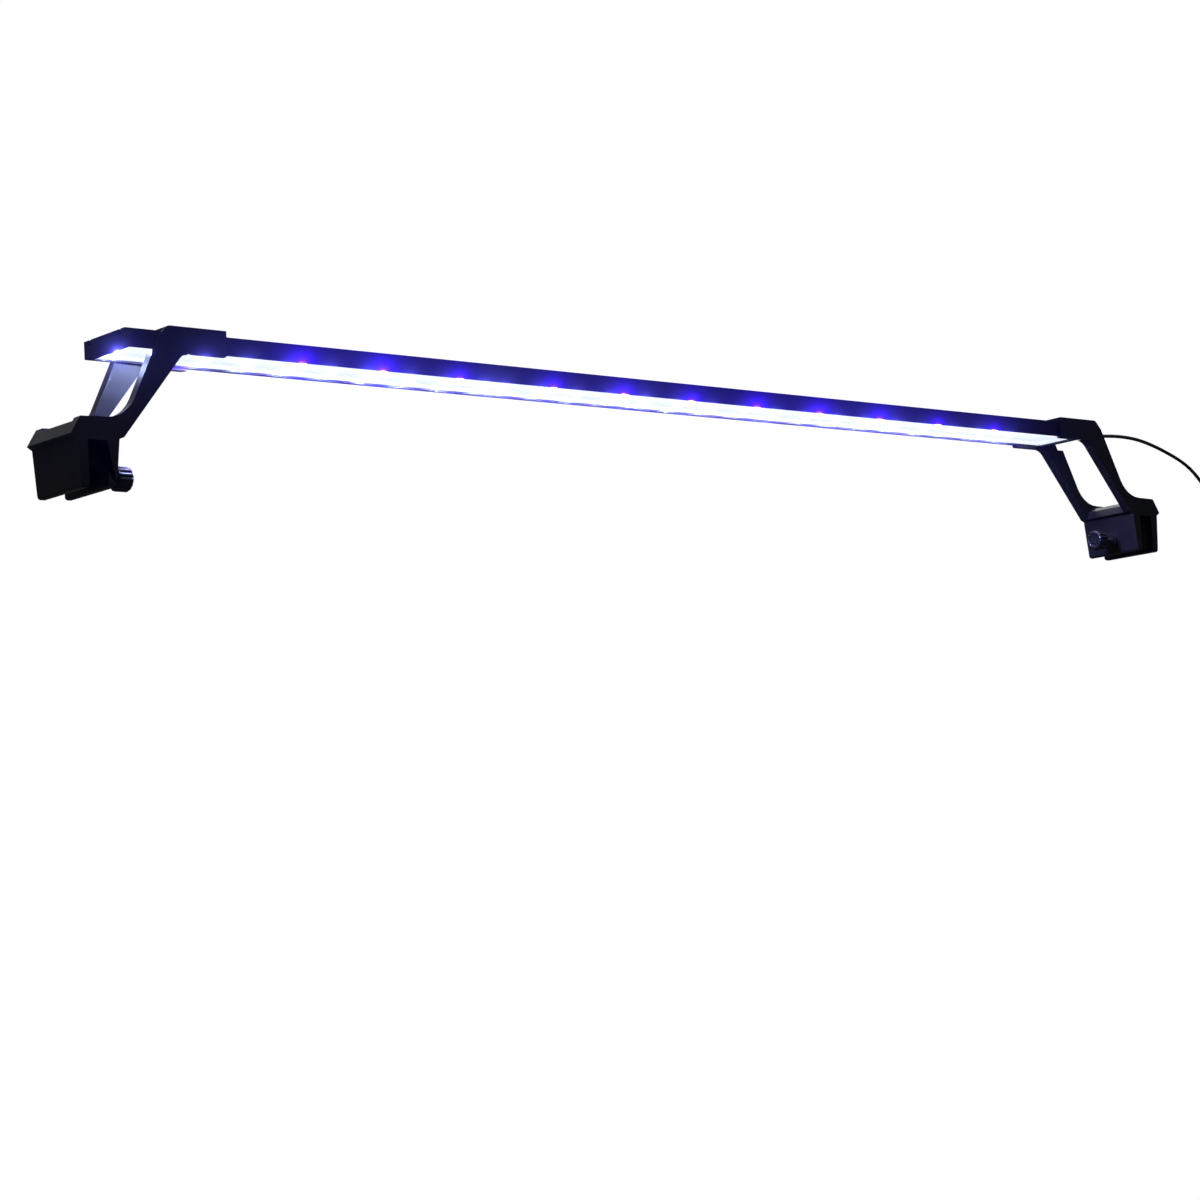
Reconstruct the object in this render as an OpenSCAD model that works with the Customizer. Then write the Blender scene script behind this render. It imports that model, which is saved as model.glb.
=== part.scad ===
// Aquarium light: an LED bar held over the tank by two sliding clamp brackets.
// Origin: centre of the footprint, on the surface that the jaws stand on. +X runs
// along the bar towards the cord, +Z is up, and the light shines down.

/* [Light bar] */
// Length over the end caps
bar_length = 788; // [784:1:800]
// Width of the housing
bar_width = 42; // [42:0.5:43]
// Height of the housing
bar_height = 10; // [10:0.1:10.4]
// Height of the housing's top above the surface
bar_top = 89; // [86:0.5:95]
// How far the bar's middle lies from the origin
bar_shift = -18; // [-24:1:-12]
// Thickness of the housing's side walls
wall = 1.6; // [1.2:0.1:1.8]
// Width of each lip under the housing
lip_width = 2.6; // [2.2:0.1:3]
// Thickness of the lips
lip_thickness = 1.2; // [0.8:0.1:1.2]
// Cooling grooves in the housing's top
cooling_grooves = 6; // [2:2:8]
// Thickness of an end cap's plate
cap_plate = 3; // [2.5:0.5:3.5]

/* [LEDs] */
// Distance from one LED column to the next
led_pitch = 28.5; // [24:0.5:28.5]
// LED columns on the left board
left_columns = 10; // [4:2:10]
// LED columns on the right board
right_columns = 17; // [7:2:17]
// Distance from the middle row to each outer row
row_offset = 12.8; // [9:0.2:14]
// Thickness of the LED boards
board_thickness = 1.2; // [1:0.1:1.4]
// Depth from the lips' underside to the boards
board_depth = 5; // [4.8:0.1:5.2]

/* [Brackets] */
// Distance from the origin to each shoe's inner end
bracket_reach = 348; // [330:1:350]
// Overall width of a bracket
bracket_width = 45.6; // [45.6:0.2:47]
// Thickness of a leg
leg_thickness = 6; // [4:0.5:8]
// Thickness of the shoe's top plate
shoe_plate = 2.8; // [2:0.2:3.4]
// Width of the slot that takes the tank's glass
slot_width = 12; // [12:0.5:13]
// Depth of that slot
slot_depth = 26; // [24:1:27]

/* [Clamp screws] */
// Thread radius of the clamp screws
screw_radius = 2.5; // [2:0.1:2.5]
// Height of the screws above the surface
screw_height = 10; // [9:0.5:13]
// Radius of a knob
knob_radius = 7; // [5.5:0.5:8]
// Length of a knob
knob_length = 9; // [7:0.5:10]
// Travel of a pressure pad
pad_travel = 8; // [6:0.5:8]

/* [Cord and adapter] */
// Diameter of the cord
cord_diameter = 2.5; // [2.2:0.1:2.6]
// Length of the adapter's housing
adapter_length = 58; // [50:1:60]
// Width of the adapter's housing
adapter_width = 40; // [36:1:44]
// Height of the adapter's housing as it lies
adapter_height = 28; // [26:1:32]

/* [Hidden] */
$fn = 48;

// The bar, measured from its own middle.
half_bar = bar_length / 2;
half_width = bar_width / 2;
bar_bottom = bar_top - bar_height;
gasket = 1;
channel_end = half_bar - cap_plate - gasket;
opening_half = half_width - lip_width;
cavity_half = half_width - wall;
board_bottom = bar_bottom + board_depth;
board_top = board_bottom + board_thickness;
tape_thickness = 0.3;
roof_bottom = board_top + tape_thickness;
board_half = cavity_half - 1.2;
cover_bottom = bar_bottom + lip_thickness;
cover_thickness = 1;
cover_top = cover_bottom + cover_thickness;
cover_half = cavity_half - 0.1;
seal_height = 1.2;
seal_width = 1.1;
port_y = 15.5;
port_z = (bar_top + roof_bottom) / 2;
port_radius = 1;
screw_head_radius = 1.5;
counterbore_radius = 1.9;
counterbore_depth = 1.2;
screw_bite = 6;
tongue_length = 5;
tongue_height = 2.2;
tongue_width = 11;
tongue_y = 12;
gasket_opening = 17.8;
groove_depth = 0.8;
groove_width = 1.6;
groove_pitch = 4;
gland_z = bar_bottom + 4.4;
gland_neck = 2;
gland_root = 3.4;
gland_length = 12;
flange_thickness = 2;

// The boards meet off the middle, and the columns step over the joint. Every second
// column has a blue LED, but for the one at the left end.
first_column = -half_bar + 16.2;
joint_step = 15.4;
right_first = first_column + (left_columns - 1) * led_pitch + joint_step;
joint_x = right_first - joint_step / 2;
joint_gap = 1;
right_board_end = channel_end - 9;
left_xs = [for (i = [0 : left_columns - 1]) first_column + i * led_pitch];
right_xs = [for (i = [0 : right_columns - 1]) right_first + i * led_pitch];
column_xs = concat(left_xs, right_xs);
blue_xs = concat([for (i = [2 : 2 : left_columns - 1]) left_xs[i]],
    [for (i = [1 : 2 : right_columns - 1]) right_xs[i]]);
resistor_xs = concat([for (i = [1 : left_columns - 1]) left_xs[i] - led_pitch / 2],
    [for (i = [1 : right_columns - 1]) right_xs[i] - led_pitch / 2]);
led_size = [5.7, 3, 0.9];
resistor_size = [2, 1.25, 0.55];
wire_z = board_bottom - 0.5;
wire_radius = 0.4;
link_reach = 3;
power_pitch = 2.1;

// The bracket, measured outwards from its shoe's inner end.
half_bracket = bracket_width / 2;
fit_gap = 0.2;
shoe_length = 38;
shoe_bottom = bar_bottom - 1.4;
shoe_top = bar_top + fit_gap + shoe_plate;
cheek_inner = half_width + fit_gap;
head_top = 39;
slot_inner = 79;
slot_outer = slot_inner + slot_width;
inner_jaw_bottom = 0.8;
jaw_corner = 3.5;
rib_width = half_bracket - leg_thickness;
boss_end = 71;
boss_radius = 5.5;
bore_gap = 0.2;
nut_thickness = 4;
nut_flats = 8;
pocket_gap = 0.1;
run_gap = 0.05;
glass_pad = 1;
glass_pad_half = 17;
glass_pad_bottom = 3;
glass_pad_top = slot_depth - 2.6;
pressure_pad = 2.5;
pressure_pad_radius = 6;
pad_start = slot_inner + 0.3;
socket_depth = 1.2;
knob_start = boss_end - 1 - pad_travel - knob_length;
knob_socket = 6;
knob_grips = 14;
grip_radius = 0.7;
grip_start = 1.5;

// [x, z, corner radius] round the cheek that joins shoe, leg and head.
cheek_outline = [
    [0, shoe_bottom, 1], [28.2, shoe_bottom, 10], [68.3, 28.4, 0.5],
    [71.3, 27.2, 0.5], [73.2, 10, 0], [slot_inner, 10, 0], [slot_inner, slot_depth, 0],
    [slot_outer, slot_depth, 0], [slot_outer, 10, 0], [96.6, 10, 0], [98, 26.6, 0.3],
    [101.1, 28.6, 0.3], [94.9, head_top - 0.6, 1], [66.3, head_top, 21],
    [43.6, bar_top - 3.1, 6], [38.2, shoe_top, 4], [0, shoe_top, 0.5]];
// [x, z, corner radius] round the clamp head between the legs, with both jaws.
head_outline = [
    [68.3, 28.4, 0.5], [71.3, 27.2, 0.5], [74.4, inner_jaw_bottom, 1.5],
    [slot_inner, inner_jaw_bottom, 1.5], [slot_inner, slot_depth, 0],
    [slot_outer, slot_depth, 0], [slot_outer, 0, 1.2], [95.8, 0, 1.2],
    [98, 26.6, 0.3], [101.1, 28.6, 0.3], [96.2, head_top - 2.5, 1],
    [76, head_top - 2.5, 2], [71, 34, 2]];

// The cord's route: out of the gland, over the right clamp and down to the surface.
lead_route = [
    [388, 0, 83.4], [395, 0, 83.8], [403, 0, 84.8], [412, 0, 86], [422, 0, 87],
    [434, 0, 87.7], [446, 0, 87.7], [458, 0, 86.9], [470, 0, 85], [482, 0, 82.2],
    [494, 0, 78.7], [506, 0, 74.6], [517, 0, 69.4], [526, 0, 63], [534, 0, 55.4],
    [541, 0, 47.2], [548, 0, 38.8], [555, 0, 30.6], [562, 0, 22.8], [569, 0, 15.6],
    [576, 0, 9.4], [584, 0, 4.8], [593, 0, 2.4], [602, 0, 1.9], [609, 0, 1.9]];
// The short way from the coil to the adapter.
tail_route = [
    [612, -2.5, 8.7], [617, -2.1, 8.9], [622, -1, 9.3], [628, 0, 10]];
tube_sides = 8;
coil_x = 612;
coil_radius = 15;
coil_y = -coil_radius - 1.5 * cord_diameter;
coil_base = 0.6;
coil_inner = coil_radius - 2 * cord_diameter;
coil_outer = coil_radius + 2 * cord_diameter;
coil_top = coil_base + 9.4;
coil_shoulder = coil_base + 5;
coil_slope = 2.4;
tie_thickness = coil_base;
tie_width = 6;
relief_start = 628;
relief_tip = 1.9;
relief_root = 3.6;
adapter_start = 646;
adapter_wall = 2;
adapter_split = 16;
adapter_cord_z = 10;
circuit_inset = 4;
circuit_base = adapter_wall + 3;
circuit_thickness = 1.6;
coil_former = [20, 18, 13.4];
pin_radius = 2;
pin_tip = 1.2;
pin_length = 19;
pin_spread = 9.3;
pin_x = adapter_start + adapter_length - 16;

// The points of an outline of [x, y, radius] corners, each corner as an arc.
function outline(corners, steps = 6) = [
    for (i = [0 : len(corners) - 1])
    let (n = len(corners), p = corners[i], a = corners[(i + n - 1) % n], b = corners[(i + 1) % n],
        u = unit([a[0] - p[0], a[1] - p[1]]), v = unit([b[0] - p[0], b[1] - p[1]]),
        half = acos(max(-1, min(1, u * v))) / 2, reach = p[2] / tan(half),
        centre = [p[0], p[1]] + unit(u + v) * (p[2] / sin(half)),
        start = [p[0], p[1]] + u * reach - centre, finish = [p[0], p[1]] + v * reach - centre,
        from = atan2(start[1], start[0]), turn = wrapped(atan2(finish[1], finish[0]) - from))
    each p[2] == 0 ? [[p[0], p[1]]]
        : [for (k = [0 : steps]) centre + p[2] * [cos(from + turn * k / steps),
            sin(from + turn * k / steps)]]];
function unit(v) = v / norm(v);
function wrapped(angle) = angle > 180 ? angle - 360 : angle < -180 ? angle + 360 : angle;

// A smooth line through the points of a route, with one more point in each gap.
function smooth(route) = concat(
    [for (i = [0 : len(route) - 2]) each [route[i], midpoint(route, i)]],
    [route[len(route) - 1]]);
function midpoint(route, i) =
    let (before = route[max(i - 1, 0)], after = route[min(i + 2, len(route) - 1)])
    (9 * (route[i] + route[i + 1]) - before - after) / 16;

// A box that is centred on Y, from one x and z to another.
module span(x0, x1, half_y, z0, z1) {
    translate([x0, -half_y, z0]) cube([x1 - x0, 2 * half_y, z1 - z0]);
}

// A cylinder along X.
module rod(x0, x1, radius, y = 0, z = 0, sides = 48) {
    translate([x0, y, z]) rotate([0, 90, 0]) cylinder(r = radius, h = x1 - x0, $fn = sides);
}

// An [x, z] outline as a plate from one y to another.
module plate(points, y0, y1) {
    translate([0, y1, 0]) rotate([90, 0, 0]) linear_extrude(y1 - y0) polygon(points);
}

module on_bar() {
    translate([bar_shift, 0, 0]) children();
}

module on_right() {
    translate([bracket_reach, 0, 0]) children();
}

module on_left() {
    translate([-bracket_reach, 0, 0]) mirror([1, 0, 0]) children();
}

// A round tube along a list of points.
module tube(points, radius) {
    count = len(points);
    rings = [for (i = [0 : count - 1])
        let (along = unit(points[min(i + 1, count - 1)] - points[max(i - 1, 0)]),
            side = unit(cross(along, [0, 1, 0])), up = cross(side, along))
        for (k = [0 : tube_sides - 1])
        points[i] + radius * (cos(360 * k / tube_sides) * side + sin(360 * k / tube_sides) * up)];
    walls = [for (i = [0 : count - 2], k = [0 : tube_sides - 1])
        let (a = i * tube_sides + k, b = i * tube_sides + (k + 1) % tube_sides)
        each [[a, b, a + tube_sides], [b, b + tube_sides, a + tube_sides]]];
    first = [for (k = [tube_sides - 1 : -1 : 0]) k];
    last = [for (k = [0 : tube_sides - 1]) (count - 1) * tube_sides + k];
    polyhedron(rings, concat(walls, [first, last]));
}

// ---- light bar ----

module housing_section() {
    difference() {
        translate([-half_width, bar_bottom]) square([bar_width, bar_height]);
        translate([-cavity_half, cover_bottom]) square([2 * cavity_half, roof_bottom - cover_bottom]);
        translate([-opening_half, bar_bottom - 1]) square([2 * opening_half, lip_thickness + 2]);
        for (i = [0 : cooling_grooves - 1])
            translate([(i - (cooling_grooves - 1) / 2) * groove_pitch - groove_width / 2,
                bar_top - groove_depth])
                square([groove_width, 2 * groove_depth]);
    }
}

module bar_extrusion() {
    color("#1b1b1f") on_bar() difference() {
        translate([-channel_end, 0, 0]) rotate([90, 0, 90])
            linear_extrude(2 * channel_end) housing_section();
        for (end = [-1, 1], y = [-port_y, port_y])
            rod(end * channel_end - 8, end * channel_end + 8, port_radius, y, port_z, 24);
    }
}

// One end cap, standing at the bar's +X end.
module end_cap(hole_radius) {
    difference() {
        union() {
            span(half_bar - cap_plate, half_bar, half_width, bar_bottom, bar_top);
            for (side = [-1, 1])
                translate([channel_end - tongue_length, side * tongue_y - tongue_width / 2,
                    cover_top + fit_gap])
                    cube([tongue_length + gasket + 0.1, tongue_width, tongue_height]);
        }
        for (y = [-port_y, port_y]) {
            rod(half_bar - cap_plate - 1, half_bar + 1, port_radius + run_gap, y, port_z, 24);
            rod(half_bar - counterbore_depth, half_bar + 1, counterbore_radius, y,
                port_z - 0.05, 24);
        }
        if (hole_radius > 0)
            rod(half_bar - cap_plate - 1, half_bar + 1, hole_radius, 0, gland_z);
    }
}

module end_cap_left() {
    color("#18181b") on_bar() mirror([1, 0, 0]) end_cap(0);
}

module end_cap_right() {
    color("#18181b") on_bar() end_cap(gland_neck + run_gap);
}

module end_cap_gaskets() {
    color("#26262a") on_bar() for (end = [0, 1]) mirror([end, 0, 0]) difference() {
        span(channel_end, channel_end + gasket, half_width, bar_bottom, bar_top);
        span(channel_end - 1, channel_end + 2, gasket_opening, cover_bottom, roof_bottom);
        for (y = [-port_y, port_y])
            rod(channel_end - 1, channel_end + 2, port_radius + run_gap, y, port_z, 24);
    }
}

module end_cap_screws() {
    color("#232327") on_bar() for (end = [0, 1], y = [-port_y, port_y]) mirror([end, 0, 0]) {
        rod(channel_end - screw_bite, half_bar - counterbore_depth, port_radius, y, port_z, 24);
        rod(half_bar - counterbore_depth, half_bar - 0.1, screw_head_radius, y, port_z, 24);
    }
}

module thermal_tape() {
    color("#c9c9c4") on_bar() {
        span(2 - channel_end, joint_x - 3, board_half - 0.7, board_top, roof_bottom);
        span(joint_x + 3, right_board_end - 2, board_half - 0.7, board_top, roof_bottom);
    }
}

module led_board_left() {
    color("#17171a") on_bar()
        span(3 - channel_end, joint_x - joint_gap / 2, board_half, board_bottom, board_top);
}

module led_board_right() {
    color("#17171a") on_bar()
        span(joint_x + joint_gap / 2, right_board_end, board_half, board_bottom, board_top);
}

module solder_pad(x, y) {
    translate([x, y, wire_z]) cylinder(r = 0.9, h = board_bottom - wire_z, $fn = 24);
}

module board_link_wires() {
    color("#8c2020") on_bar() for (y = [-6, 0, 6]) {
        rod(joint_x - link_reach, joint_x + link_reach, wire_radius, y, wire_z - 0.1, 16);
        for (side = [-1, 1]) solder_pad(joint_x + side * link_reach, y);
    }
}

module packages(xs, ys, size) {
    for (x = xs, y = ys)
        translate([x - size[0] / 2, y - size[1] / 2, board_bottom - size[2]]) cube(size);
}

module white_leds() {
    color("#e8d23c") on_bar() packages(column_xs, [-row_offset, row_offset], led_size);
}

module blue_leds() {
    color("#c9cbd6") on_bar() packages(blue_xs, [0], led_size);
}

module resistors() {
    color("#303034") on_bar() packages(resistor_xs, [-row_offset, row_offset], resistor_size);
}

module lens_cover() {
    color("#dfe6ee") on_bar()
        span(-channel_end, channel_end, cover_half, cover_bottom, cover_top);
}

module cover_seals() {
    color("#c4c4c8") on_bar() for (side = [0, 1]) mirror([0, side, 0])
        translate([-channel_end, cover_half - seal_width, cover_top])
            cube([2 * channel_end, seal_width, seal_height]);
}

module power_wires() {
    color("#b03030") on_bar() for (y = [-power_pitch / 2, power_pitch / 2]) {
        rod(right_board_end - 3, channel_end - 2 * flange_thickness, wire_radius, y,
            wire_z - 0.1, 16);
        solder_pad(right_board_end - 3, y);
    }
}

module cable_gland() {
    color("#121214") on_bar() {
        span(channel_end - 2 * flange_thickness, channel_end - flange_thickness, 3.5,
            gland_z - 2, gland_z + 1.9);
        rod(channel_end - flange_thickness, half_bar, gland_neck, 0, gland_z);
        translate([half_bar, 0, gland_z]) rotate([0, 90, 0])
            cylinder(r1 = gland_root, r2 = gland_neck, h = gland_length);
    }
}

// ---- brackets ----

// One bracket, with its shoe at x = 0 and its clamp outwards along +X.
module bracket() {
    cheek = outline(cheek_outline);
    difference() {
        union() {
            for (side = [0, 1]) mirror([0, side, 0]) {
                plate(cheek, cheek_inner, half_bracket);
                intersection() {
                    plate(cheek, rib_width, cheek_inner + 0.1);
                    span(20, slot_outer + 20, half_bracket, 0, shoe_bottom);
                }
                translate([0, opening_half + 0.2, shoe_bottom])
                    cube([22, cheek_inner - opening_half, 1.2]);
            }
            intersection() {
                plate(cheek, -cheek_inner - 0.1, cheek_inner + 0.1);
                span(-1, shoe_length, half_bracket, bar_top + fit_gap, shoe_top + 1);
            }
            intersection() {
                plate(outline(head_outline), -half_bracket, half_bracket);
                jaw_silhouette();
            }
            rod(boss_end, slot_inner - nut_thickness, boss_radius, 0, screw_height);
        }
        rod(boss_end - 1, slot_inner, screw_radius + bore_gap, 0, screw_height);
        rod(slot_inner - nut_thickness, slot_inner + 1,
            (nut_flats / 2 + pocket_gap) / cos(30), 0, screw_height, 6);
    }
}

// The clamp head seen along X: full width, with the jaws' lower corners rounded.
module jaw_silhouette() {
    corners = [[-half_bracket, -1, jaw_corner], [half_bracket, -1, jaw_corner],
        [half_bracket, head_top + 2, 0], [-half_bracket, head_top + 2, 0]];
    translate([60, 0, 0]) rotate([90, 0, 90]) linear_extrude(50) polygon(outline(corners));
}

module glass_pad_block() {
    span(slot_outer - glass_pad, slot_outer, glass_pad_half, glass_pad_bottom, glass_pad_top);
}

module clamp_nut() {
    difference() {
        rod(slot_inner - nut_thickness, slot_inner, nut_flats / 2 / cos(30), 0, screw_height, 6);
        rod(slot_inner - nut_thickness - 1, slot_inner + 1, screw_radius + run_gap, 0,
            screw_height);
    }
}

module pressure_pad_disc() {
    difference() {
        rod(pad_start, pad_start + pressure_pad, pressure_pad_radius, 0, screw_height);
        rod(pad_start - 1, pad_start + socket_depth, screw_radius + run_gap, 0, screw_height);
    }
}

module clamp_screw() {
    rod(knob_start + knob_length - knob_socket, pad_start + socket_depth - 0.2, screw_radius, 0,
        screw_height);
}

module clamp_knob() {
    knob_end = knob_start + knob_length;
    grip_circle = knob_radius + 0.1;
    difference() {
        rod(knob_start, knob_end, knob_radius, 0, screw_height);
        rod(knob_end - knob_socket, knob_end + 1, screw_radius, 0, screw_height);
        for (i = [0 : knob_grips - 1]) {
            angle = 360 * i / knob_grips;
            rod(knob_start + grip_start, knob_end + 1, grip_radius, grip_circle * cos(angle),
                screw_height + grip_circle * sin(angle), 16);
        }
    }
}

module left_bracket() { color("#141417") on_left() bracket(); }
module right_bracket() { color("#141417") on_right() bracket(); }
module left_glass_pad() { color("#2a2a2c") on_left() glass_pad_block(); }
module right_glass_pad() { color("#2a2a2c") on_right() glass_pad_block(); }
module left_clamp_nut() { color("#b9b9bd") on_left() clamp_nut(); }
module right_clamp_nut() { color("#b9b9bd") on_right() clamp_nut(); }
module left_pressure_pad() { color("#2a2a2c") on_left() pressure_pad_disc(); }
module right_pressure_pad() { color("#2a2a2c") on_right() pressure_pad_disc(); }
module left_clamp_screw() { color("#1c1c20") on_left() clamp_screw(); }
module right_clamp_screw() { color("#1c1c20") on_right() clamp_screw(); }
module left_clamp_knob() { color("#141417") on_left() clamp_knob(); }
module right_clamp_knob() { color("#141417") on_right() clamp_knob(); }

// ---- cord and adapter ----

module cord_lead() {
    color("#101012") tube(smooth(lead_route), cord_diameter / 2);
}

module cord_tail() {
    color("#101012") tube(smooth(tail_route), cord_diameter / 2);
}

module cord_coil() {
    color("#101012") translate([coil_x, coil_y, 0]) rotate_extrude($fn = 64)
        polygon([[coil_inner, coil_base], [coil_outer, coil_base], [coil_outer, coil_shoulder],
            [coil_outer - coil_slope, coil_top], [coil_inner + coil_slope, coil_top],
            [coil_inner, coil_shoulder]]);
}

module cord_tie() {
    low = coil_inner - tie_thickness;
    high = coil_outer + tie_thickness;
    color("#1e1e22") translate([coil_x, coil_y, 0]) rotate([0, 0, -90]) difference() {
        translate([low, -tie_width / 2, 0])
            cube([high - low, tie_width, coil_top + tie_thickness]);
        translate([coil_inner, -tie_width, coil_base])
            cube([coil_outer - coil_inner, 2 * tie_width, coil_top - coil_base]);
    }
}

module adapter_strain_relief() {
    color("#121214") translate([relief_start, 0, adapter_cord_z]) rotate([0, 90, 0])
        cylinder(r1 = relief_tip, r2 = relief_root, h = adapter_start - relief_start);
}

// A tray of the adapter's housing between two heights, closed at its outer face.
module adapter_shell(z0, z1, floor_z0, floor_z1) {
    half = adapter_width / 2;
    end = adapter_start + adapter_length;
    difference() {
        span(adapter_start, end, half, z0, z1);
        span(adapter_start + adapter_wall, end - adapter_wall, half - adapter_wall,
            floor_z0, floor_z1);
    }
}

module adapter_lower_shell() {
    color("#17171a") adapter_shell(0, adapter_split, adapter_wall, adapter_split + 1);
}

module adapter_upper_shell() {
    color("#17171a") adapter_shell(adapter_split, adapter_height, adapter_split - 1,
        adapter_height - adapter_wall);
}

module adapter_pins() {
    color("#c9c9ce") for (y = [-pin_spread, pin_spread])
        translate([pin_x, y, adapter_height]) {
            cylinder(r = pin_radius, h = pin_length - 1);
            translate([0, 0, pin_length - 1]) cylinder(r1 = pin_radius, r2 = pin_tip, h = 1);
        }
}

module adapter_circuit() {
    board_top_z = circuit_base + circuit_thickness;
    color("#1f5a34") span(adapter_start + circuit_inset,
        adapter_start + adapter_length - circuit_inset, adapter_width / 2 - circuit_inset,
        circuit_base, board_top_z);
    color("#8a6a30") span(adapter_start + 14, adapter_start + 14 + coil_former[0],
        coil_former[1] / 2, board_top_z, board_top_z + coil_former[2]);
}

bar_extrusion();
end_cap_left();
end_cap_right();
end_cap_gaskets();
end_cap_screws();
thermal_tape();
led_board_left();
led_board_right();
board_link_wires();
white_leds();
blue_leds();
resistors();
lens_cover();
cover_seals();
power_wires();
cable_gland();
left_bracket();
right_bracket();
left_glass_pad();
right_glass_pad();
left_clamp_nut();
right_clamp_nut();
left_pressure_pad();
right_pressure_pad();
left_clamp_screw();
right_clamp_screw();
left_clamp_knob();
right_clamp_knob();
cord_lead();
cord_coil();
cord_tail();
cord_tie();
adapter_strain_relief();
adapter_lower_shell();
adapter_upper_shell();
adapter_pins();
adapter_circuit();
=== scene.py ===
import math

import bmesh
import bpy
from mathutils import Matrix, Vector


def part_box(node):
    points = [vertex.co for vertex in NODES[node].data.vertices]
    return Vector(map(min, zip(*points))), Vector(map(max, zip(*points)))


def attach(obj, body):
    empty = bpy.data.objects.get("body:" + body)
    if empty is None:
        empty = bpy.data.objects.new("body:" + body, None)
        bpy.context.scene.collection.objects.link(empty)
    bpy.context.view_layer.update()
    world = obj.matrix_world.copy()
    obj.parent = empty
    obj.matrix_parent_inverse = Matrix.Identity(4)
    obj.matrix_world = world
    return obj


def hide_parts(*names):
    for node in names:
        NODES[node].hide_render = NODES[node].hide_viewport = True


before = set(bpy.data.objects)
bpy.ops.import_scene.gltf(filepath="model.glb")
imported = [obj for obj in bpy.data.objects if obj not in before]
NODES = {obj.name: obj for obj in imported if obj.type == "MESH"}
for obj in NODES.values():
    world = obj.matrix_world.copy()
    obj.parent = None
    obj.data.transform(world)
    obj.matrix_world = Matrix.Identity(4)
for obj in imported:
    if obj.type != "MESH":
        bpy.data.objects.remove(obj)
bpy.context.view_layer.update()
MM = 0.001
BAR = "light_bar"
SIDES = {"left": -1, "right": 1}
TURN = 2 * math.pi

CAMERA_PLACE = (-1.2621, -1.3738, -0.2594)
CAMERA_YAW, CAMERA_PITCH, CAMERA_ROLL = 0.7151, 0.1166, -0.0637
CAMERA_LENS = 89.99
FLOOR_REACH = 6
# World strength near the horizon and overhead, and the heights between which it changes.
LOW_FILL, HIGH_FILL, FILL_HEIGHTS = 0.045, 0.5, (0.4, 0.9)
# Emission of the LED windows, and the painted glow of the cover's haze, which stands in for their scattered
# light.
WHITE_GLOW, BLUE_GLOW, HAZE_PAINTED_GLOW = 2200, 6000, 8
HAZE_ALPHA = 0.065


# ---- camera, light and floor ----

def add_camera():
    """The camera looks up at the bar from the left, a little below the surface."""
    yaw, pitch, roll = CAMERA_YAW, CAMERA_PITCH, CAMERA_ROLL
    forward = Vector((math.sin(yaw) * math.cos(pitch), math.cos(yaw) * math.cos(pitch), math.sin(pitch)))
    level = Vector((math.cos(yaw), -math.sin(yaw), 0))
    upright = level.cross(forward)
    right = level * math.cos(roll) + upright * math.sin(roll)
    up = upright * math.cos(roll) - level * math.sin(roll)
    data = bpy.data.cameras.new("camera")
    data.lens = CAMERA_LENS
    data.sensor_width = 36
    data.clip_start = 0.05
    camera = bpy.data.objects.new("camera", data)
    turn = Matrix((right, up, -forward)).transposed()
    camera.matrix_world = Matrix.Translation(CAMERA_PLACE) @ turn.to_4x4()
    bpy.context.scene.collection.objects.link(camera)
    bpy.context.scene.camera = camera


def add_world():
    """A white backdrop, with a dim light from all round that brightens overhead."""
    world = bpy.data.worlds.new("studio")
    bpy.context.scene.world = world
    world.use_nodes = True
    tree = world.node_tree
    light = tree.nodes["Background"]
    light.inputs["Color"].default_value = (0.93, 0.96, 1.0, 1)
    direction = tree.nodes.new("ShaderNodeSeparateXYZ")
    tree.links.new(tree.nodes.new("ShaderNodeTexCoord").outputs["Generated"], direction.inputs[0])
    height = tree.nodes.new("ShaderNodeMapRange")
    tree.links.new(direction.outputs["Z"], height.inputs[0])
    for socket, value in zip(height.inputs[1:5], (*FILL_HEIGHTS, LOW_FILL, HIGH_FILL)):
        socket.default_value = value
    tree.links.new(height.outputs[0], light.inputs["Strength"])
    white = tree.nodes.new("ShaderNodeBackground")
    white.inputs["Color"].default_value = (1, 1, 1, 1)
    white.inputs["Strength"].default_value = 1
    seen = tree.nodes.new("ShaderNodeLightPath")
    mix = tree.nodes.new("ShaderNodeMixShader")
    tree.links.new(seen.outputs["Is Camera Ray"], mix.inputs[0])
    tree.links.new(light.outputs[0], mix.inputs[1])
    tree.links.new(white.outputs[0], mix.inputs[2])
    tree.links.new(mix.outputs[0], tree.nodes["World Output"].inputs["Surface"])


def add_softbox(name, place, target, size, power):
    data = bpy.data.lights.new(name, "AREA")
    data.shape = "RECTANGLE"
    data.size, data.size_y = size
    data.energy = power
    lamp = bpy.data.objects.new(name, data)
    lamp.location = place
    lamp.rotation_euler = (Vector(target) - Vector(place)).to_track_quat("-Z", "Y").to_euler()
    bpy.context.scene.collection.objects.link(lamp)


def add_sky_light(power):
    """A broad, soft light from overhead that reaches the whole floor."""
    data = bpy.data.lights.new("sky_light", "SUN")
    data.energy = power
    data.angle = 1.2
    lamp = bpy.data.objects.new("sky_light", data)
    lamp.rotation_euler = (-0.25, 0.15, 0)
    bpy.context.scene.collection.objects.link(lamp)


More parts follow.
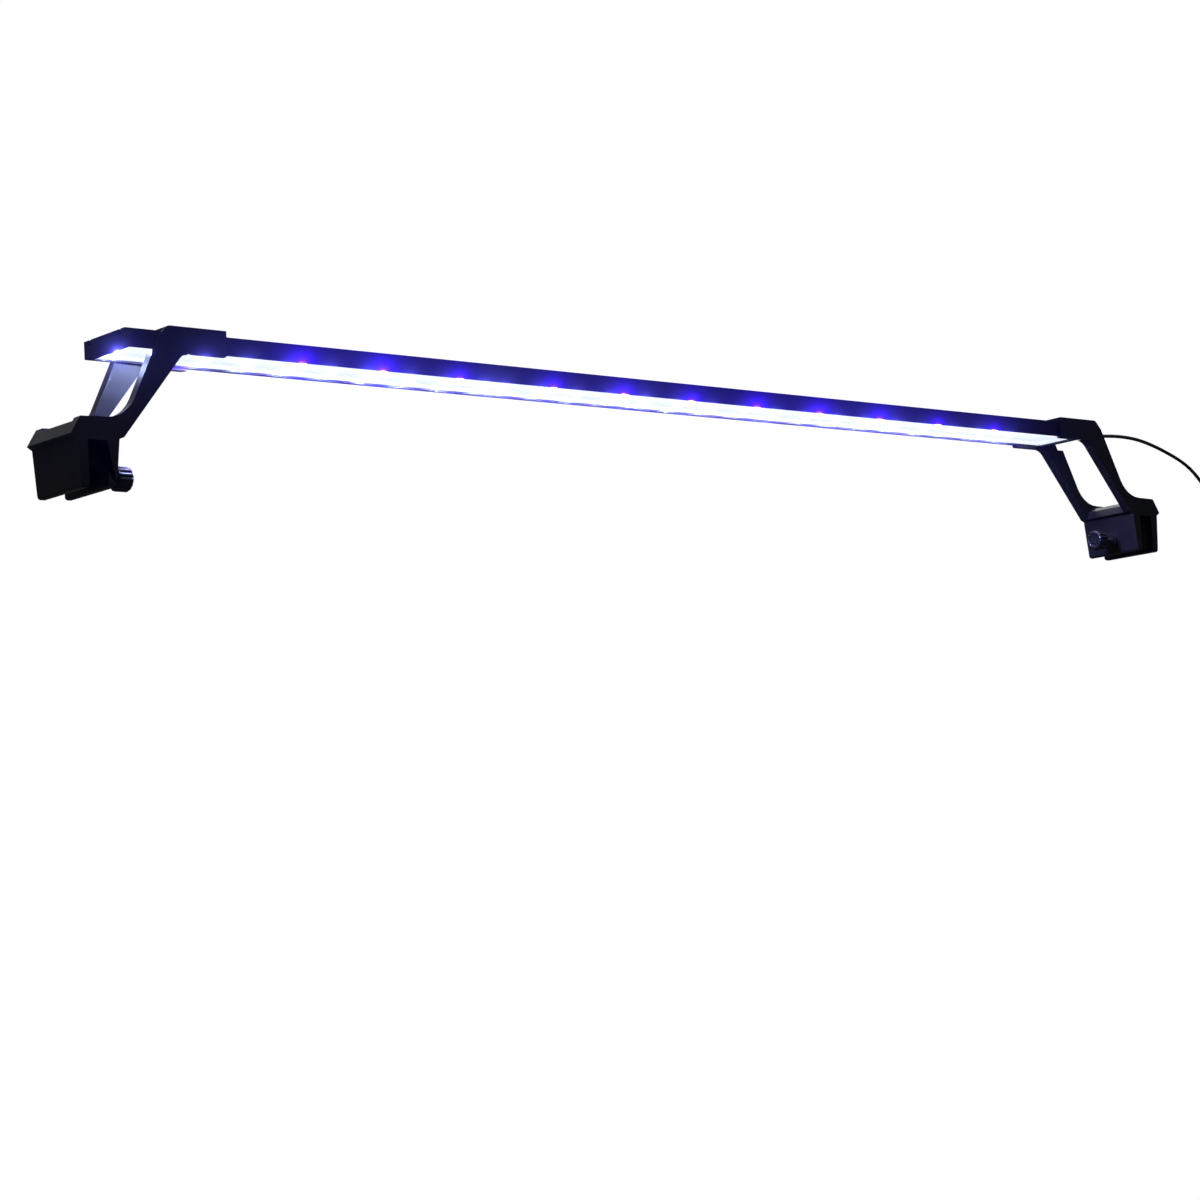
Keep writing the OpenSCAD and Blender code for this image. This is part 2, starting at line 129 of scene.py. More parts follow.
def add_floor():
    """A pale floor that shows from above only, because the camera stands below it."""
    mesh = bpy.data.meshes.new("floor")
    corners = ((-1, -1), (1, -1), (1, 1), (-1, 1))
    mesh.from_pydata([(x * FLOOR_REACH, y * FLOOR_REACH, 0) for x, y in corners], [], [(0, 1, 2, 3)])
    floor = bpy.data.objects.new("floor", mesh)
    bpy.context.scene.collection.objects.link(floor)
    surface = Surface("floor_paint", roughness=0.75)
    surface.tone(surface.noise(3, 3), (0.80, 0.81, 0.82), (0.84, 0.85, 0.86))
    tree = surface.tree
    below = tree.nodes.new("ShaderNodeNewGeometry").outputs["Backfacing"]
    clear = tree.nodes.new("ShaderNodeBsdfTransparent")
    mix = tree.nodes.new("ShaderNodeMixShader")
    tree.links.new(below, mix.inputs[0])
    tree.links.new(surface.shader.outputs[0], mix.inputs[1])
    tree.links.new(clear.outputs[0], mix.inputs[2])
    tree.links.new(mix.outputs[0], tree.nodes["Material Output"].inputs["Surface"])
    mesh.materials.append(surface.material)
    floor.visible_diffuse = floor.visible_glossy = False
    return floor


def spare_floor(floor, lamps):
    """Keeps the LEDs' light off the floor, which it would blow out."""
    others = bpy.data.collections.new("unlit_by_leds")
    others.objects.link(floor)
    others.collection_objects[0].light_linking.link_state = "EXCLUDE"
    for lamp in lamps:
        lamp.light_linking.receiver_collection = others


# ---- materials ----

class Surface:
    """A Principled material, with the textures that shape its colour, gloss and relief."""

    def __init__(self, name, **sockets):
        self.material = bpy.data.materials.new(name)
        self.material.use_nodes = True
        self.tree = self.material.node_tree
        self.shader = self.tree.nodes["Principled BSDF"]
        for socket, value in sockets.items():
            self.shader.inputs[socket.replace("_", " ").title().replace("Ior", "IOR")].default_value = value
        self.place = self.tree.nodes.new("ShaderNodeTexCoord").outputs["Object"]
        self.relief = None

    def add(self, kind, **inputs):
        made = self.tree.nodes.new(kind)
        for socket, value in inputs.items():
            target = made.inputs[socket.replace("_", " ").title()]
            if isinstance(value, bpy.types.NodeSocket):
                self.tree.links.new(value, target)
            else:
                target.default_value = value
        return made

    def math(self, operation, first, second=0.0):
        made = self.tree.nodes.new("ShaderNodeMath")
        made.operation = operation
        for socket, value in zip(made.inputs, (first, second)):
            if isinstance(value, bpy.types.NodeSocket):
                self.tree.links.new(value, socket)
            else:
                socket.default_value = value
        return made.outputs[0]

    def stretched(self, stretch):
        return self.add("ShaderNodeMapping", vector=self.place, scale=stretch).outputs[0]

    def axis(self, index):
        return self.add("ShaderNodeSeparateXYZ", vector=self.place).outputs[index]

    def noise(self, scale, detail, stretch=(1, 1, 1)):
        made = self.add("ShaderNodeTexNoise", vector=self.stretched(stretch), scale=scale, detail=detail)
        return made.outputs[0]

    def cells(self, scale):
        return self.add("ShaderNodeTexVoronoi", vector=self.place, scale=scale).outputs[0]

    def edges(self, radius):
        """About 1 along sharp edges and 0 on flat faces."""
        rounded = self.tree.nodes.new("ShaderNodeBevel")
        rounded.samples = 4
        rounded.inputs["Radius"].default_value = radius
        geometry = self.tree.nodes.new("ShaderNodeNewGeometry")
        dot = self.tree.nodes.new("ShaderNodeVectorMath")
        dot.operation = "DOT_PRODUCT"
        self.tree.links.new(rounded.outputs[0], dot.inputs[0])
        self.tree.links.new(geometry.outputs["Normal"], dot.inputs[1])
        return self.between(dot.outputs["Value"], 0.98, 0.75)

    def between(self, factor, low, high, to_low=0.0, to_high=1.0):
        made = self.tree.nodes.new("ShaderNodeMapRange")
        self.tree.links.new(factor, made.inputs[0])
        for socket, value in zip(made.inputs[1:5], (low, high, to_low, to_high)):
            socket.default_value = value
        return made.outputs[0]

    def blend(self, factor, first, second):
        """first where the factor is 0 and second where it is 1, as a colour."""
        made = self.tree.nodes.new("ShaderNodeMix")
        made.data_type = "RGBA"
        self.tree.links.new(factor, made.inputs[0])
        for socket, value in zip((made.inputs[6], made.inputs[7]), (first, second)):
            if isinstance(value, bpy.types.NodeSocket):
                self.tree.links.new(value, socket)
            else:
                socket.default_value = (*value, 1)
        return made.outputs[2]

    def tone(self, factor, dark, light):
        colour = self.blend(self.between(factor, 0.35, 0.65), dark, light)
        self.tree.links.new(colour, self.shader.inputs["Base Color"])
        return colour

    def recolour(self, factor, colour):
        """Lays another colour over the base colour where the factor is 1."""
        base = self.shader.inputs["Base Color"].links[0].from_socket
        self.tree.links.new(self.blend(factor, base, colour), self.shader.inputs["Base Color"])

    def gloss(self, factor, low, high):
        self.tree.links.new(self.between(factor, 0.3, 0.7, low, high), self.shader.inputs["Roughness"])

    def bump(self, height, distance, strength=1.0):
        made = self.add("ShaderNodeBump", height=height, distance=distance, strength=strength)
        if self.relief is not None:
            self.tree.links.new(self.relief, made.inputs["Normal"])
        self.relief = made.outputs[0]
        self.tree.links.new(self.relief, self.shader.inputs["Normal"])


def moulded_plastic(name, dark, light, roughness, grain, worn=None, **sockets):
    """Injection-moulded plastic: fine spark-eroded grain, uneven gloss and paler edges."""
    surface = Surface(name, **sockets)
    surface.tone(surface.noise(60, 5), dark, light)
    if worn:
        patchy = surface.math("MULTIPLY", surface.edges(0.6 * MM), surface.noise(220, 3))
        surface.recolour(patchy, worn)
    surface.gloss(surface.noise(35, 4), roughness - 0.06, roughness + 0.08)
    surface.bump(surface.noise(2600, 2), grain)
    surface.bump(surface.noise(40, 2), 2 * grain, 0.5)
    return surface.material


def rubber(name, dark, light, roughness):
    """Matt rubber or silicone with a dull, uneven skin."""
    surface = Surface(name, specular_ior_level=0.35)
    surface.tone(surface.noise(90, 6), dark, light)
    surface.gloss(surface.noise(50, 3), roughness - 0.08, roughness + 0.1)
    surface.bump(surface.noise(1500, 4), 0.05 * MM)
    return surface.material


def cord_jacket():
    """Smooth extruded jacket: a satin skin with long faint flow marks."""
    surface = Surface("cord_jacket", specular_ior_level=0.4)
    surface.tone(surface.noise(30, 5), (0.016, 0.016, 0.018), (0.026, 0.026, 0.029))
    surface.gloss(surface.noise(60, 4), 0.36, 0.5)
    surface.bump(surface.noise(90, 2), 0.01 * MM, 0.3)
    return surface.material


def brushed_metal(name, dark, light, roughness, along=(1, 1, 1)):
    """Bright metal with fine lines, drawn out along the axis whose stretch is small."""
    surface = Surface(name, metallic=1.0)
    lines = surface.noise(900, 3, along)
    surface.tone(lines, dark, light)
    surface.gloss(surface.noise(300, 3, along), roughness - 0.06, roughness + 0.1)
    surface.bump(lines, 0.02 * MM)
    return surface.material


def anodised_aluminium():
    """Black anodised extrusion: drawing lines along the bar, a satin sheen and worn edges."""
    surface = Surface("anodised_aluminium", metallic=0.35, specular_ior_level=0.4)
    lines = surface.noise(1400, 3, (0.01, 1, 1))
    surface.tone(lines, (0.008, 0.008, 0.011), (0.016, 0.016, 0.022))
    patchy = surface.math("MULTIPLY", surface.edges(0.25 * MM), surface.noise(160, 4))
    surface.recolour(patchy, (0.09, 0.09, 0.10))
    surface.gloss(surface.noise(500, 4, (0.02, 1, 1)), 0.34, 0.5)
    surface.bump(lines, 0.015 * MM)
    surface.bump(surface.noise(1900, 2), 0.01 * MM)
    return surface.material


def solder_mask():
    """Black solder mask over copper, which shows as low broad ridges along the LED rows."""
    surface = Surface("solder_mask", specular_ior_level=0.45)
    surface.tone(surface.noise(45, 4), (0.017, 0.017, 0.019), (0.026, 0.026, 0.029))
    across = surface.math("ABSOLUTE", surface.axis(1))
    row = surface.math("ABSOLUTE", surface.math("SUBTRACT", across, 12.8 * MM))
    copper = surface.between(row, 2.5 * MM, 2.2 * MM)
    gap = surface.math("LESS_THAN", surface.math("ABSOLUTE", surface.math("SUBTRACT", across, 6 * MM)),
                       0.25 * MM)
    surface.bump(surface.math("SUBTRACT", copper, gap), 0.06 * MM)
    surface.bump(surface.noise(1600, 3), 0.008 * MM)
    surface.gloss(surface.noise(70, 3), 0.32, 0.46)
    return surface.material


def phosphor(name, dark, light, glow, strength):
    """The window of a lit LED: a grainy resin that glows."""
    surface = Surface(name, roughness=0.35, emission_strength=strength)
    surface.shader.inputs["Emission Color"].default_value = (*glow, 1)
    surface.tone(surface.noise(4000, 4), dark, light)
    surface.bump(surface.noise(6000, 2), 0.02 * MM)
    return surface.material


def clear_acrylic():
    """A clear cover with a faint haze; its emission is a painted glow that stands in for the LED light it
    would scatter.
    """
    surface = Surface("clear_acrylic", ior=1.49, alpha=HAZE_ALPHA, emission_strength=HAZE_PAINTED_GLOW)
    surface.shader.inputs["Emission Color"].default_value = (0.78, 0.86, 1.0, 1)
    surface.tone(surface.noise(25, 3), (0.86, 0.9, 0.94), (0.93, 0.95, 0.98))
    surface.gloss(surface.noise(15, 4), 0.05, 0.16)
    surface.bump(surface.noise(90, 2, (0.2, 1, 1)), 0.02 * MM, 0.4)
    return surface.material


def insulated_wire(name, dark, light):
    """Glossy wire insulation."""
    surface = Surface(name, coat_weight=0.2)
    surface.tone(surface.noise(200, 3), dark, light)
    surface.gloss(surface.noise(120, 3), 0.35, 0.5)
    surface.bump(surface.noise(2500, 2), 0.02 * MM)
    return surface.material


def laminate():
    """Green circuit board with pale tracks."""
    surface = Surface("laminate")
    surface.tone(surface.noise(120, 5), (0.012, 0.09, 0.035), (0.02, 0.14, 0.05))
    surface.recolour(surface.between(surface.cells(260), 0.1, 0.05), (0.30, 0.32, 0.20))
    surface.gloss(surface.noise(60, 3), 0.3, 0.45)
    surface.bump(surface.noise(700, 3), 0.03 * MM)
    return surface.material


def woven_tape(name, dark, light):
    """Hook-and-loop or cloth tape: a fine tangle of fibres."""
    surface = Surface(name, sheen_weight=0.4, specular_ior_level=0.2)
    surface.tone(surface.noise(1400, 6), dark, light)
    surface.gloss(surface.noise(400, 3), 0.8, 0.95)
    surface.bump(surface.cells(2600), 0.12 * MM)
    return surface.material


# ---- mesh tools ----

class Shape:
    """Points and faces of one mesh, gathered loft by loft."""

    def __init__(self):
        self.points, self.faces, self.tints = [], [], []

    def loft(self, rings, tint=0, ends=(True, True), joined=False):
        """Walls through rings of equal count, closed at its ends or joined last to first."""
        start, count = len(self.points), len(rings[0])
        for ring in rings:
            self.points.extend(tuple(p) for p in ring)
        pairs = list(range(len(rings) - 1))
        if joined:
            pairs.append(len(rings) - 1)
        for i in pairs:
            low, high = start + i * count, start + (i + 1) % len(rings) * count
            for k in range(count):
                n = (k + 1) % count
                self.face((low + k, low + n, high + n, high + k), tint)
        if not joined:
            if ends[0]:
                self.face(range(start + count - 1, start - 1, -1), tint)
            if ends[1]:
                last = start + (len(rings) - 1) * count
                self.face(range(last, last + count), tint)
        return self

    def face(self, corners, tint=0):
        self.faces.append(tuple(corners))
        self.tints.append(tint)

    def block(self, low, high, tint, chamfer):
        """A box between two corners, with its upright and level edges chamfered."""
        middle = [(a + b) / 2 for a, b in zip(low, high)]
        half = [(b - a) / 2 for a, b in zip(low, high)]
        rings = []
        for z, inset in ((-half[2], chamfer), (-half[2] + chamfer, 0), (half[2] - chamfer, 0),
                         (half[2], chamfer)):
            outline = rounded(2 * (half[0] - inset), 2 * (half[1] - inset), chamfer + 1e-6, 1)
            rings.append([(middle[0] + x, middle[1] + y, middle[2] + z) for x, y in outline])
        return self.loft(rings, tint)

    def piece(self, name, body, slot, materials, crease=32, replaced=()):
        """Makes the mesh object, and says which body it rides on and what it replaces."""
        mesh = bpy.data.meshes.new(name)
        mesh.from_pydata(self.points, [], self.faces)
        mesh.polygons.foreach_set("material_index", self.tints)
        work = bmesh.new()
        work.from_mesh(mesh)
        bmesh.ops.remove_doubles(work, verts=work.verts, dist=1e-7)
        bmesh.ops.recalc_face_normals(work, faces=work.faces)
        work.to_mesh(mesh)
        work.free()
        mesh.polygons.foreach_set("use_smooth", [True] * len(mesh.polygons))
        mesh.set_sharp_from_angle(angle=math.radians(crease))
        for material in materials:
            mesh.materials.append(material)
        made = bpy.data.objects.new(name, mesh)
        bpy.context.scene.collection.objects.link(made)
        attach(made, body)
        if replaced:
            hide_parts(*replaced)
        return made


def rounded(width, depth, radius, steps=4):
    """The outline of a rectangle with round corners, centred on 0, 0."""
    outline = []
    for corner in range(4):
        sx, sy = ((1, 1), (-1, 1), (-1, -1), (1, -1))[corner]
        for k in range(steps + 1):
            angle = math.pi / 2 * (corner + k / steps)
            outline.append((sx * (width / 2 - radius) + radius * math.cos(angle),
                            sy * (depth / 2 - radius) + radius * math.sin(angle)))
    return outline


def smooth_step(t):
    """0 up to 0 and 1 from 1 on, with a smooth rise between."""
    t = max(0.0, min(1.0, t))
    return t * t * (3 - 2 * t)


def turned(profile, count, axis_y=0.0, axis_z=0.0):
    """Rings of a lathe along X, from a profile of (x, radius)."""
    return [[(x, axis_y + r * math.cos(TURN * k / count), axis_z + r * math.sin(TURN * k / count))
             for k in range(count)] for x, r in profile]


def swept(points, section):
    """Rings of a section [(across, out)] round a closed flat path of points (u, w)."""
    rings, count = [], len(points)
    for i, (u, w) in enumerate(points):
        before, after = points[i - 1], points[(i + 1) % count]
        du, dw = after[0] - before[0], after[1] - before[1]
        size = math.hypot(du, dw)
        rings.append([(u + out * dw / size, w - out * du / size, across) for across, out in section])
    return rings


# ---- the cord, its coil and what is on it ----

CORD = 2.5 * MM
LEAD_ROUTE = [
    (388, 0, 83.4), (395, 0, 83.8), (403, 0, 84.8), (412, 0, 86), (422, 0, 87),
    (434, 0, 87.7), (446, 0, 87.7), (458, 0, 86.9), (470, 0, 85), (482, 0, 82.2),
    (494, 0, 78.7), (506, 0, 74.6), (517, 0, 69.4), (526, 0, 63), (534, 0, 55.4),
    (541, 0, 47.2), (548, 0, 38.8), (555, 0, 30.6), (562, 0, 22.8), (569, 0, 15.6),
    (576, 0, 9.4), (584, 0, 4.8), (593, 0, 2.4), (602, 0, 1.9), (609, 0, 1.9)]
TAIL_ROUTE = [(617, -2.1, 8.9), (622, -1, 9.3), (628, 0, 10), (642, 0, 10), (656, 0, 10)]
COIL_MIDDLE = (612, -18.75)
COIL_LAYERS = [((18.75, 16.25, 13.75, 11.25), 1.85), ((11.25, 13.75, 16.25, 18.75), 4.35),
               ((17.5, 15, 12.5), 6.52), ((13.75, 16.25), 8.68)]
COIL_STEP = 0.14
COIL_POINTS = 28
# How far a nested layer lifts where a layer steps over: (stepping layer, lifted layer).
COIL_LIFTS = {(1, 2): 0.335, (1, 3): 0.335, (2, 2): 0.335, (2, 3): 0.67, (3, 3): 0.335}


def coil_rows():
    """Each turn's radius, height, layer and the share of the turn where it steps on."""
    rows, share = [], 1.0
    for layer, (radii, height) in enumerate(COIL_LAYERS):
        share -= COIL_STEP
        rows += [(radius, height, layer, share) for radius in radii[:-1]]
        share -= COIL_STEP
        rows.append((radii[-1], height, layer, share))
    return rows


def coil_points():
    """The wound turns, from the outside of the lowest layer to the top."""
    points, rows = [], coil_rows()
    within = {row[2]: row[3] for row in reversed(rows)}
    for this, following in zip(rows, rows[1:]):
        for k in range(COIL_POINTS):
            share = k / COIL_POINTS
            gone = (share - this[3]) / COIL_STEP
            radius = this[0] + (following[0] - this[0]) * smooth_step(gone)
            height = this[1] + (following[1] - this[1]) * smooth_step(1.6 * gone)
            layer = following[2] if gone > 0.5 else this[2]
            for (stepping, lifted), lift in COIL_LIFTS.items():
                if lifted == layer:
                    middle = within[stepping] + COIL_STEP / 2
                    height += lift * smooth_step(1.6 - abs(share - middle) / COIL_STEP * 1.6)
            angle = TURN * share
            points.append((COIL_MIDDLE[0] + radius * math.sin(angle),
                           COIL_MIDDLE[1] + radius * math.cos(angle), height))
    points.append((COIL_MIDDLE[0], COIL_MIDDLE[1] + rows[-1][0], rows[-1][1]))
    return points


def eased(route):
    """A smooth line through a route's points, with two more between each pair."""
    line, parts = [], 3
    for i in range(len(route) - 1):
        p0, p1, p2, p3 = (Vector(route[min(max(j, 0), len(route) - 1)]) for j in range(i - 1, i + 3))
        for k in range(parts):
            t = k / parts
            line.append(0.5 * (2 * p1 + (p2 - p0) * t + (2 * p0 - 5 * p1 + 4 * p2 - p3) * t * t
                               + (3 * p1 - p0 - 3 * p2 + p3) * t ** 3))
    return line + [Vector(route[-1])]


def add_cord(material):
    """The lead from the bar to the adapter, as one curve over its coil."""
    coil = [Vector(p) for p in coil_points()]
    line = eased(LEAD_ROUTE) + coil + eased([tuple(coil[-1]), *TAIL_ROUTE])[1:]
    curve = bpy.data.curves.new("cord", "CURVE")
    curve.dimensions = "3D"
    curve.bevel_depth = CORD / 2
    curve.bevel_resolution = 3
    curve.use_fill_caps = True
    spline = curve.splines.new("POLY")
    spline.points.add(len(line) - 1)
    for point, p in zip(spline.points, line):
        point.co = (*(p * MM), 1)
    spline.use_smooth = True
    curve.materials.append(material)
    cord = bpy.data.objects.new("cord", curve)
    bpy.context.scene.collection.objects.link(cord)
    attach(cord, BAR)
    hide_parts("cord_lead", "cord_coil", "cord_tail")


def add_cord_tie(material):
    """A strap round the coil's turns."""
    low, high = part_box("cord_tie")
    half_x, middle = (high.x - low.x) / 2, (low.x + high.x) / 2
    thick = 0.55 * MM
    outline = rounded(high.y - low.y - thick, high.z - low.z - thick, 2.6 * MM, 6)
    centre_y, centre_z = (low.y + high.y) / 2, (low.z + high.z) / 2
    section = [(-half_x, -thick / 2), (half_x, -thick / 2), (half_x, thick / 2), (-half_x, thick / 2)]
    shape = Shape()
    rings = swept([(y + centre_y, z + centre_z) for y, z in outline], section)
    shape.loft([[(middle + across, y, z) for y, z, across in ring] for ring in rings], joined=True)
    return shape.piece("cord_tie_strap", BAR, "tie_black", [material], replaced=["cord_tie"])


def add_ribbed_relief(name, node, ribs, from_narrow, material):
    """A tapered rubber strain relief along X, ringed with the grooves that let such a relief bend."""
    low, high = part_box(node)
    middle_y = (low.y + high.y) / 2
    narrow = 1.7 * MM
    if from_narrow:
        start, end, wide, axis_z = low.x, high.x, 3.6 * MM, (low.z + high.z) / 2
    else:
        start, end, wide, axis_z = high.x, high.x - 12 * MM, 3.4 * MM, LEAD_ROUTE[0][2] * MM
    profile = [(start, 0.9 * MM), (start, narrow - 0.2 * MM)]
    steps = ribs * 8
    for k in range(steps + 1):
        t = k / steps
        radius = narrow + (wide - narrow) * t ** 0.8
        groove = 0.5 * MM * max(0.0, math.sin(TURN * ribs * t)) ** 0.6 if 0.06 < t < 0.86 else 0
        profile.append((start + (end - start) * t, radius - groove))
    profile.append((end, 0.9 * MM))
    shape = Shape().loft(turned(profile, 32, middle_y, axis_z))
    return shape.piece(name, BAR, "gland_rubber", [material], replaced=[node])


# ---- the adapter ----

def add_adapter(plastic, metal, sleeve):
    """The plug-in power supply: two rounded shells with a parting line, and two pins."""
    bottom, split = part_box("adapter_lower_shell")[0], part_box("adapter_lower_shell")[1].z
    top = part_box("adapter_upper_shell")[1]
    middle_x, middle_y = (bottom.x + top.x) / 2, (bottom.y + top.y) / 2
    width, depth = top.x - bottom.x, top.y - bottom.y
    corner, wall, edge = 7 * MM, 2 * MM, 2.4 * MM

    def ring(inset, z):
        outline = rounded(width - 2 * inset, depth - 2 * inset, max(corner - inset, 0.4 * MM), 7)
        return [(middle_x + x, middle_y + y, z) for x, y in outline]

    def shell(name, node, outer_z, parting_z, slots):
        side = 1 if parting_z > outer_z else -1
        rounding = [(edge * (1 - math.sin(a)), outer_z + side * edge * (1 - math.cos(a)))
                    for a in [math.pi / 2 * k / 6 for k in range(7)]]
        rings = [ring(edge + 5 * MM, outer_z), ring(edge + 4.6 * MM, outer_z + side * 0.4 * MM),
                 ring(edge + 4.0 * MM, outer_z + side * 0.4 * MM), ring(edge + 3.6 * MM, outer_z)]
        rings += [ring(inset, z) for inset, z in rounding]
        for k in range(slots):
            z = outer_z + side * (edge + (2.0 + 2.2 * k) * MM)
            rings += [ring(0, z), ring(0.5 * MM, z + side * 0.3 * MM), ring(0.5 * MM, z + side * 1.0 * MM),
                      ring(0, z + side * 1.3 * MM)]
        rings += [ring(0, parting_z - side * 0.6 * MM), ring(0.35 * MM, parting_z - side * 0.15 * MM),
                  ring(wall, parting_z - side * 0.15 * MM), ring(wall, outer_z + side * wall)]
        return Shape().loft(rings).piece(name, BAR, "adapter_plastic", [plastic], replaced=[node])

    shell("adapter_lower_housing", "adapter_lower_shell", bottom.z, split, 3)
    shell("adapter_upper_housing", "adapter_upper_shell", top.z, split, 1)
    low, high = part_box("adapter_pins")
    shape, radius = Shape(), (high.x - low.x) / 2
    profile = [(0, 0.1), (0, 0.95), (0.2, 0.97), (0.52, 0.97), (0.53, 1.0), (0.93, 1.0), (0.97, 0.86),
               (0.99, 0.6), (1, 0.1)]
    for y in (low.y + radius, high.y - radius):
        rings = []
        for along, wide in profile:
            z, r = low.z + along * (high.z - low.z), wide * radius
            rings.append([((low.x + high.x) / 2 + r * math.cos(a), y + r * math.sin(a), z)
                          for a in [TURN * k / 28 for k in range(28)]])
        shape.loft(rings[:4], 1)
        shape.loft(rings[3:], 0)
    shape.piece("adapter_plug_pins", BAR, "pin_metal", [metal, sleeve], replaced=["adapter_pins"])


# ---- the LED boards ----

def grid_of(node):
    """The middles along X and along Y of a grid of equal boxes."""
    def middles(values):
        edges = sorted({round(v, 5) for v in values})
        return [(a + b) / 2 for a, b in zip(edges[::2], edges[1::2])]

    points = [v.co for v in NODES[node].data.vertices]
    return middles([p.x for p in points]), middles([p.y for p in points])


def add_led_packages(name, node, slot, case, window, solder):
    """Surface-mount LEDs: a pale case with a sloped window and soldered ends."""
    low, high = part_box(node)
    board, face = high.z, low.z
    xs, ys = grid_of(node)
    shape = Shape()
    levels = [(5.1, 2.9, 0.3, board), (5.0, 2.8, 0.3, face + 0.1 * MM), (4.85, 2.65, 0.25, face),
              (4.35, 2.25, 0.5, face), (4.1, 2.0, 0.45, face + 0.14 * MM)]
    fill = [(4.1, 2.0, 0.45, face + 0.14 * MM), (2.8, 1.2, 0.4, face + 0.10 * MM),
            (1.2, 0.5, 0.2, face + 0.085 * MM)]
    for x in xs:
        for y in ys:
            def ring(width, depth, radius, z):
                return [(x + a * MM, y + b * MM, z) for a, b in rounded(width, depth, radius, 3)]

            shape.loft([ring(*level) for level in levels], 0, (True, False))
            shape.loft([ring(*level) for level in fill], 1, (False, True))
            for end in (-1, 1):
                inner, outer = x + end * 2.45 * MM, x + end * 2.85 * MM
                shape.block((min(inner, outer), y - 0.9 * MM, board - 0.45 * MM),
                            (max(inner, outer), y + 0.9 * MM, board), 2, 0.06 * MM)
    return shape.piece(name, BAR, slot, [case, window, solder], replaced=[node])


def add_chip_resistors(body, solder):
    """Small chip resistors between the LED rows, with soldered ends."""
    low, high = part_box("resistors")
    xs, ys = grid_of("resistors")
    shape = Shape()
    for x in xs:
        for y in ys:
            shape.block((x - 0.7 * MM, y - 0.6 * MM, low.z), (x + 0.7 * MM, y + 0.6 * MM, high.z), 0,
                        0.05 * MM)
            for end in (-1, 1):
                inner, outer = x + end * 0.65 * MM, x + end * 1.0 * MM
                shape.block((min(inner, outer), y - 0.62 * MM, low.z),
                            (max(inner, outer), y + 0.62 * MM, high.z), 1, 0.08 * MM)
    shape.piece("chip_resistors", BAR, "resistor_black", [body, solder], replaced=["resistors"])


def add_board_print(material):
    """Thin pale outlines round the LEDs, and brackets round the resistors."""
    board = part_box("white_leds")[1].z
    thick, line = 0.05 * MM, 0.16 * MM
    shape = Shape()

    def bar(x0, y0, x1, y1):
        shape.block((x0 - line / 2, y0 - line / 2, board - thick), (x1 + line / 2, y1 + line / 2, board), 0,
                    0.01 * MM)

    for node in ("white_leds", "blue_leds"):
        xs, ys = grid_of(node)
        for x in xs:
            for y in ys:
                reach_x, reach_y = 3.9 * MM, 2.1 * MM
                for side in (-1, 1):
                    bar(x - reach_x, y + side * reach_y, x + reach_x, y + side * reach_y)
                    bar(x + side * reach_x, y - reach_y + line, x + side * reach_x, y + reach_y - line)
                bar(x - 3.45 * MM, y - 1.5 * MM, x - 3.45 * MM, y + 1.5 * MM)
    xs, ys = grid_of("resistors")
    for x in xs:
        for y in ys:
            for side in (-1, 1):
                end, tip = x + side * 1.9 * MM, x + side * 1.1 * MM
                bar(end, y - 1.2 * MM, end, y + 1.2 * MM)
                for up in (-1, 1):
                    bar(min(end, tip) + line, y + up * 1.2 * MM, max(end, tip) - line, y + up * 1.2 * MM)
    shape.piece("board_print", BAR, "board_black", [material])


def add_end_screws(material):
    """Pan-head screws in the end caps, with a cross recess."""
    low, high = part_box("end_cap_screws")
    shape, half, centre_z = Shape(), (high.z - low.z) / 2, (low.z + high.z) / 2
    for end, tip in ((-1, low.x), (1, high.x)):
        for y in (low.y + half, high.y - half):
            profile = [(-9, 0.4), (-8.6, 0.95), (-1.1, 0.95), (-1.1, 1.45), (-0.55, 1.48), (-0.2, 1.3),
                       (0, 0.85)]
            shape.loft(turned([(tip + end * x * MM, r * MM) for x, r in profile], 24, y, centre_z), 0,
                       (True, False))
            rim, recess = [], []
            for k in range(24):
                angle = TURN * k / 24
                arm = 0.72 if k % 6 in (0, 1, 5) else 0.30
                across, up = arm * MM * math.cos(angle), arm * MM * math.sin(angle)
                rim.append((tip - end * 0.02 * MM, y + across, centre_z + up))
                recess.append((tip - end * 0.7 * MM, y + 0.6 * across, centre_z + 0.6 * up))
            edge = turned([(tip, 0.85 * MM)], 24, y, centre_z)[0]
            shape.loft([edge, rim, recess], 0, (False, True))
    shape.piece("end_cap_cross_screws", BAR, "screw_steel", [material], replaced=["end_cap_screws"])


# ---- the clamps ----

def add_clamp_knob(side, material):
    """A round knob with fourteen grip flutes and a dished face."""
    low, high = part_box(side + "_clamp_knob")
    facing = SIDES[side]
    start, end = (low.x, high.x) if facing > 0 else (high.x, low.x)
    radius, middle_z = (high.z - low.z) / 2, (high.z + low.z) / 2
    length = abs(end - start) / MM
    sections = [(0.9, 0.30, 0), (0.9, 0.52, 0), (0.35, 0.58, 0), (0.0, 0.66, 0), (0.0, 0.80, 0.1),
                (0.25, 0.92, 0.4), (0.8, 0.985, 0.8), (1.5, 1.0, 1), (length - 1.4, 1.0, 1),
                (length - 0.6, 0.97, 0.9), (length - 0.1, 0.88, 0.3), (length, 0.80, 0), (length, 0.42, 0)]
    grips, per_grip = 14, 8
    rings = []
    for along, share, fluted in sections:
        ring = []
        for k in range(grips * per_grip):
            wave = 0.5 + 0.5 * math.cos(TURN * k / per_grip)
            r = radius * share - 0.62 * MM * fluted * wave ** 2
            angle = TURN * k / (grips * per_grip)
            ring.append((start + facing * along * MM, r * math.cos(angle), middle_z + r * math.sin(angle)))
        rings.append(ring)
    Shape().loft(rings).piece(side + "_grip_knob", side + "_clamp_screw", "clamp_plastic", [material], 40,
                              [side + "_clamp_knob"])


